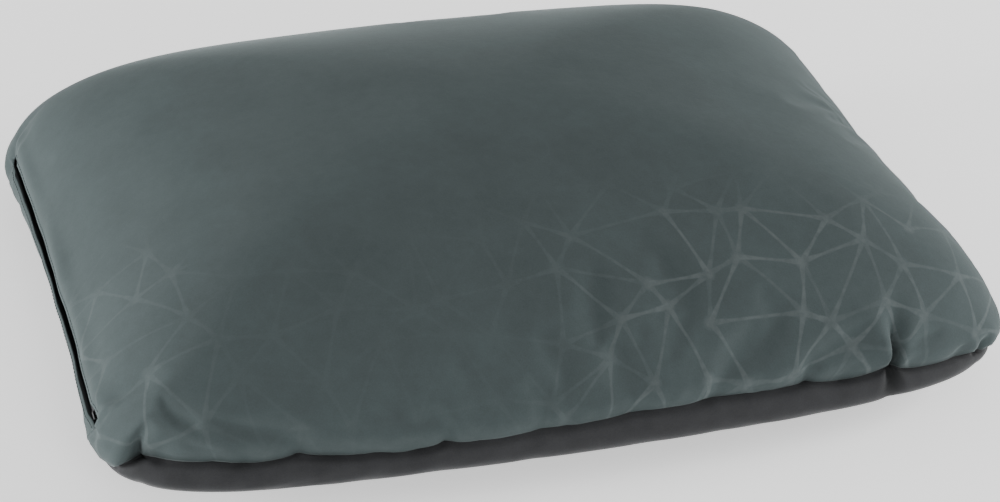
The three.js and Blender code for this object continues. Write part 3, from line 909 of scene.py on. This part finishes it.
def tube(path, radius, sides=6, reference=(0.0, 1.0, 0.0)):
    """Points and faces of a closed round thread along a path that never runs along the reference."""
    tangent = unit(np.gradient(path, axis=0))
    normal = unit(np.cross(tangent, reference) + 1e-6)
    second = np.cross(tangent, normal)
    angles = 2 * np.pi * np.arange(sides) / sides
    rings = path[:, None] + radius * (np.cos(angles)[None, :, None] * normal[:, None]
                                      + np.sin(angles)[None, :, None] * second[:, None])
    index = np.arange(len(path) * sides).reshape(len(path), sides)
    around = np.roll(index, -1, axis=1)
    faces = np.stack([index[:-1], index[1:], around[1:], around[:-1]], -1).reshape(-1, 4)
    points = rings.reshape(-1, 3)
    caps = []
    for row, flip in ((0, False), (len(path) - 1, True)):
        for k in range(1, sides - 1):
            triangle = [index[row, 0], index[row, k], index[row, k + 1]]
            caps.append(triangle[::-1] if flip else triangle)
    return points, [list(face) for face in faces] + caps


def add_threads(name, tubes, slot_name, node=None, look=None):
    points, faces = [], []
    for tube_points, tube_faces in tubes:
        faces += [[corner + len(points) for corner in face] for face in tube_faces]
        points += tube_points.tolist()
    obj = new_mesh(name, points, faces)
    work = bmesh.new()
    work.from_mesh(obj.data)
    bmesh.ops.recalc_face_normals(work, faces=work.faces)
    work.to_mesh(obj.data)
    work.free()
    enlist(obj, "pillow", slot_name, node, look)


def rounded_copy(node, name):
    """The model's own piece with its edges rounded."""
    source = CAD[node]
    work = bmesh.new()
    work.from_mesh(source.data)
    bmesh.ops.remove_doubles(work, verts=work.verts, dist=0.005 * MM)
    bmesh.ops.dissolve_limit(work, angle_limit=math.radians(4), verts=work.verts, edges=work.edges)
    sharp = [edge for edge in work.edges
             if len(edge.link_faces) == 2 and edge.calc_face_angle(0) > math.radians(25)]
    bmesh.ops.bevel(work, geom=sharp, offset=METAL_ROUNDING, segments=2, profile=0.6, affect="EDGES",
                    clamp_overlap=True)
    mesh = bpy.data.meshes.new(name)
    work.to_mesh(mesh)
    work.free()
    mesh.polygons.foreach_set("use_smooth", np.ones(len(mesh.polygons), bool))
    return add_object(name, mesh)


def make_topstitch():
    """A row of short stitches along each lip of the zip, lying on the fabric."""
    stitches = []
    for row in (UPPER_LIP + 1, LOWER_LIP - 1):
        line = covers[1][row, slot] - ZIP_IN * STITCH_RADIUS * 0.4
        run = np.concatenate([[0], np.cumsum(np.linalg.norm(np.diff(line, axis=0), axis=1))])
        for start in np.arange(STITCH_PITCH, run[-1] - STITCH_PITCH, STITCH_PITCH):
            along = start + np.linspace(0, 1, len(STITCH_ARCH)) * STITCH_LENGTH
            path = np.stack([np.interp(along, run, line[:, axis]) for axis in range(3)], -1)
            path += np.array(STITCH_ARCH)[:, None] * STITCH_RADIUS * ZIP_IN
            stitches.append(tube(path, STITCH_RADIUS, reference=ZIP_IN))
    add_threads("zip_topstitch", stitches, "brushed_knit", look="stitch_thread")


def make_zip():
    for side, node in ((1, "zip_coil_upper"), (-1, "zip_coil_lower")):
        add_threads(node + "_helix", [tube(coil_points(node, side), COIL_WIRE)], "zip_coil", node)
    for node, body in (("zip_slider", "slider"), ("zip_pull", "pull")):
        enlist(rounded_copy(node, node + "_body"), body, "zip_metal", node)


make_zip()
make_topstitch()


# ---- materials ----
class Maker:
    """Short calls for building a node material."""

    def __init__(self, name):
        self.material = bpy.data.materials.new(name)
        self.material.use_nodes = True
        self.tree = self.material.node_tree
        self.shader = self.tree.nodes["Principled BSDF"]

    def node(self, kind, inputs=(), **settings):
        node = self.tree.nodes.new("ShaderNode" + kind)
        for key, value in settings.items():
            setattr(node, key, value)
        for key, value in dict(inputs).items():
            self.feed(node.inputs[key], value)
        return node

    def feed(self, socket, value):
        if isinstance(value, bpy.types.NodeSocket):
            self.tree.links.new(value, socket)
        else:
            socket.default_value = value

    def math(self, operation, *values, clamp=False):
        return self.node("Math", enumerate(values), operation=operation, use_clamp=clamp).outputs[0]

    def vector(self, operation, *values):
        return self.node("VectorMath", enumerate(values), operation=operation).outputs["Value"]

    def attribute(self, name, output="Vector"):
        return self.node("Attribute", attribute_name=name, attribute_type="GEOMETRY").outputs[output]

    def noise(self, size, detail=2.0, roughness=0.5):
        place = self.node("TexCoord").outputs["Object"]
        inputs = {"Vector": place, "Scale": 1 / size, "Detail": detail, "Roughness": roughness}
        return self.node("TexNoise", inputs).outputs["Fac"]

    def blend(self, factor, first, second):
        return self.node("Mix", {0: factor, 6: first, 7: second}, data_type="RGBA").outputs[2]

    def spread(self, value, low, high, to_low=0.0, to_high=1.0):
        node = self.node("MapRange", {"Value": value, "From Min": low, "From Max": high,
                                      "To Min": to_low, "To Max": to_high})
        return node.outputs["Result"]

    def bump(self, height, distance, strength=1.0, below=None):
        node = self.node("Bump", {"Height": height, "Distance": distance, "Strength": strength})
        if below:
            self.feed(node.inputs["Normal"], below)
        return node.outputs["Normal"]

    def finish(self, **inputs):
        for name, value in inputs.items():
            self.feed(self.shader.inputs[name.replace("_", " ")], value)
        return self.material


def with_painted_shade(m, colour, sheen):
    """The colour and sheen of a fabric, less of both where it is marked for painted shade."""
    painted_shade = m.attribute("painted_shade", "Fac")
    # painted shade: the colour darkens towards near black and the sheen fades where the mark is
    dark = m.blend(m.math("MULTIPLY", painted_shade, 0.8), colour, (0.004, 0.005, 0.005, 1))
    return dark, m.spread(painted_shade, 0.0, 1.0, sheen, 0.0)


def shade(colour, factor):
    return tuple(channel * factor for channel in colour) + (1,)


KNIT_COLOUR = (0.056, 0.072, 0.073)
PRINT_COLOUR = (0.092, 0.110, 0.111, 1)
BASE_COLOUR = (0.026, 0.027, 0.029)


def brushed_knit():
    m = Maker("brushed_knit")
    pile = m.noise(0.9 * MM, 3, 0.65)
    patch = m.noise(38 * MM, 3, 0.55)
    streak = m.noise(7 * MM, 4, 0.6)
    tone = m.math("MULTIPLY_ADD", patch, 0.5, m.math("MULTIPLY", streak, 0.35))
    tone = m.math("MULTIPLY_ADD", pile, 0.5, tone)
    base = m.blend(m.spread(tone, 0.45, 0.9), shade(KNIT_COLOUR, 0.86), shade(KNIT_COLOUR, 1.14))
    base, sheen = with_painted_shade(m, m.blend(printed_lines(m), base, PRINT_COLOUR), 0.15)
    normal = m.bump(pile, 0.12 * MM, 0.5, m.bump(m.noise(3.5 * MM, 2), 0.18 * MM, 0.35))
    return m.finish(Base_Color=base, Roughness=0.92, Normal=normal, Sheen_Weight=sheen,
                    Sheen_Roughness=0.35, Sheen_Tint=(0.75, 0.86, 0.86, 1), Specular_IOR_Level=0.15)


def printed_lines(m):
    """How much of the print's paler ink lies here: lines that widen towards their hubs."""
    place = m.attribute("fabric_place")
    hub = m.node("SeparateXYZ", {0: m.attribute("print_hub")})
    flat_hub = m.node("CombineXYZ", {"X": hub.outputs[0], "Y": hub.outputs[1], "Z": 1.0}).outputs[0]
    hub_distance = m.vector("DISTANCE", place, flat_hub)
    flare = m.spread(hub_distance, 1.0 * MM, 13 * MM, 3.2 * MM, 0.9 * MM)
    gains = m.node("SeparateXYZ", {0: m.attribute("print_gains")})
    ink = m.math("MULTIPLY", m.spread(hub_distance, 2.0 * MM, 5.0 * MM, 0.8, 0.0), hub.outputs[2])
    for rank in range(LINES_PER_FACE):
        across = m.vector("DOT_PRODUCT", place, m.attribute("print_line_%d" % rank))
        away = m.math("SUBTRACT", m.math("ABSOLUTE", across), m.math("MULTIPLY", flare, 0.5))
        line = m.math("SUBTRACT", 1.0, m.math("DIVIDE", away, 0.8 * MM, clamp=True), clamp=True)
        ink = m.math("MAXIMUM", ink, m.math("MULTIPLY", line, gains.outputs[rank]))
    worn = m.spread(m.noise(5 * MM, 3, 0.6), 0.3, 0.62, 0.35, 1.0)
    return m.math("MULTIPLY", ink, worn, clamp=True)


def base_fabric():
    m = Maker("base_fabric")
    weave = m.noise(0.8 * MM, 2, 0.7)
    tone = m.math("MULTIPLY_ADD", m.noise(12 * MM, 3), 0.6, m.math("MULTIPLY", weave, 0.6))
    base = m.blend(m.spread(tone, 0.4, 0.8), shade(BASE_COLOUR, 0.8), shade(BASE_COLOUR, 1.25))
    base, sheen = with_painted_shade(m, base, 0.2)
    return m.finish(Base_Color=base, Roughness=0.85, Normal=m.bump(weave, 0.15 * MM, 0.6),
                    Sheen_Weight=sheen, Sheen_Roughness=0.4, Specular_IOR_Level=0.25)


def plain_fabric(name, colour, grain, roughness):
    m = Maker(name)
    weave = m.noise(grain, 2, 0.6)
    base = m.blend(weave, shade(colour, 0.8), shade(colour, 1.15))
    return m.finish(Base_Color=base, Roughness=roughness, Normal=m.bump(weave, 0.1 * MM, 0.6),
                    Specular_IOR_Level=0.25)


def dark_metal():
    m = Maker("zip_metal")
    scuff = m.noise(1.5 * MM, 4, 0.7)
    base = m.blend(scuff, (0.02, 0.021, 0.023, 1), (0.05, 0.052, 0.056, 1))
    return m.finish(Base_Color=base, Metallic=0.9, Roughness=m.spread(scuff, 0.3, 0.8, 0.28, 0.5),
                    Normal=m.bump(scuff, 0.02 * MM, 0.3))


# colour, grain in mm and roughness
PLAIN_FABRICS = {
    "binding_tape": ((0.012, 0.013, 0.014), 0.7, 0.8),
    "stitch_thread": (KNIT_COLOUR, 0.5, 0.8),
    "zip_tape": ((0.010, 0.011, 0.012), 0.5, 0.75),
    "zip_coil": ((0.012, 0.013, 0.014), 0.9, 0.4),
    "liner_fabric": ((0.58, 0.58, 0.55), 0.8, 0.85),
    "label_satin": ((0.75, 0.75, 0.72), 0.4, 0.5),
    "foam": ((0.66, 0.58, 0.36), 1.4, 0.95),
}
MATERIALS = {"brushed_knit": brushed_knit(), "base_fabric": base_fabric(), "zip_metal": dark_metal()}
for name, (colour, grain, roughness) in PLAIN_FABRICS.items():
    MATERIALS[name] = plain_fabric(name, colour, grain * MM, roughness)


def dress():
    """Gives every new piece and every node of the model its material."""
    for name, look in LOOKS.items():
        PIECES[name].data.materials.append(MATERIALS[look])
    for node in frame["record"]["subparts"]:
        obj = CAD[node["node"]]
        obj.data.materials.clear()
        obj.data.materials.append(MATERIALS[node["material_slot"]])


dress()


# ---- stage ----
FLOOR_HALF = 3.0
WORLD_STRENGTH = 0.52
LIGHT_AIM = Vector((0, 0, 0.05))
# name, place, diameter in metres and power in watts
SOFTBOXES = (("left_softbox", (-2.5, 0.3, 0.15), 1.2, 150),
             ("right_softbox", (2.4, -0.1, 0.75), 1.2, 66),
             ("front_softbox", (0.4, -2.8, 1.4), 1.4, 26))


def area_light(name, place, size, power):
    light = bpy.data.lights.new(name, "AREA")
    light.shape = "DISK"
    light.size = size
    light.energy = power
    obj = add_object(name, light)
    obj.location = place
    obj.rotation_euler = (LIGHT_AIM - Vector(place)).to_track_quat("-Z", "Y").to_euler()


def make_stage():
    corners = [(x * FLOOR_HALF, y * FLOOR_HALF, 0) for x, y in ((-1, -1), (1, -1), (1, 1), (-1, 1))]
    floor = new_mesh("floor", corners, [(0, 1, 2, 3)])
    paint = Maker("pale_floor").finish(Base_Color=(0.93, 0.93, 0.93, 1), Roughness=0.9,
                                       Emission_Color=(1, 1, 1, 1), Emission_Strength=0.7)
    floor.data.materials.append(paint)
    for name, place, size, power in SOFTBOXES:
        area_light(name, place, size, power)
    world = bpy.data.worlds.new("studio")
    bpy.context.scene.world = world
    world.use_nodes = True
    background = world.node_tree.nodes["Background"]
    background.inputs["Color"].default_value = (1, 1, 1, 1)
    background.inputs["Strength"].default_value = WORLD_STRENGTH


def make_camera():
    azimuth, elevation = math.radians(VIEW_AZIMUTH), math.radians(VIEW_ELEVATION)
    roll = math.radians(VIEW_ROLL)
    level = math.cos(elevation)
    back = Vector((math.sin(azimuth) * level, -math.cos(azimuth) * level, math.sin(elevation)))
    right = Vector((math.cos(azimuth), math.sin(azimuth), 0))
    up = back.cross(right)
    turned_right = math.cos(roll) * right + math.sin(roll) * up
    turned_up = math.cos(roll) * up - math.sin(roll) * right
    camera = bpy.data.cameras.new("camera")
    camera.sensor_width = 36
    camera.lens = VIEW_LENS
    camera.shift_x, camera.shift_y = VIEW_SHIFT
    obj = add_object("camera", camera)
    axes = Matrix((turned_right, turned_up, back)).transposed().to_4x4()
    obj.matrix_world = Matrix.Translation(VIEW_CENTRE + back * VIEW_DISTANCE) @ axes
    bpy.context.scene.camera = obj


make_stage()
make_camera()
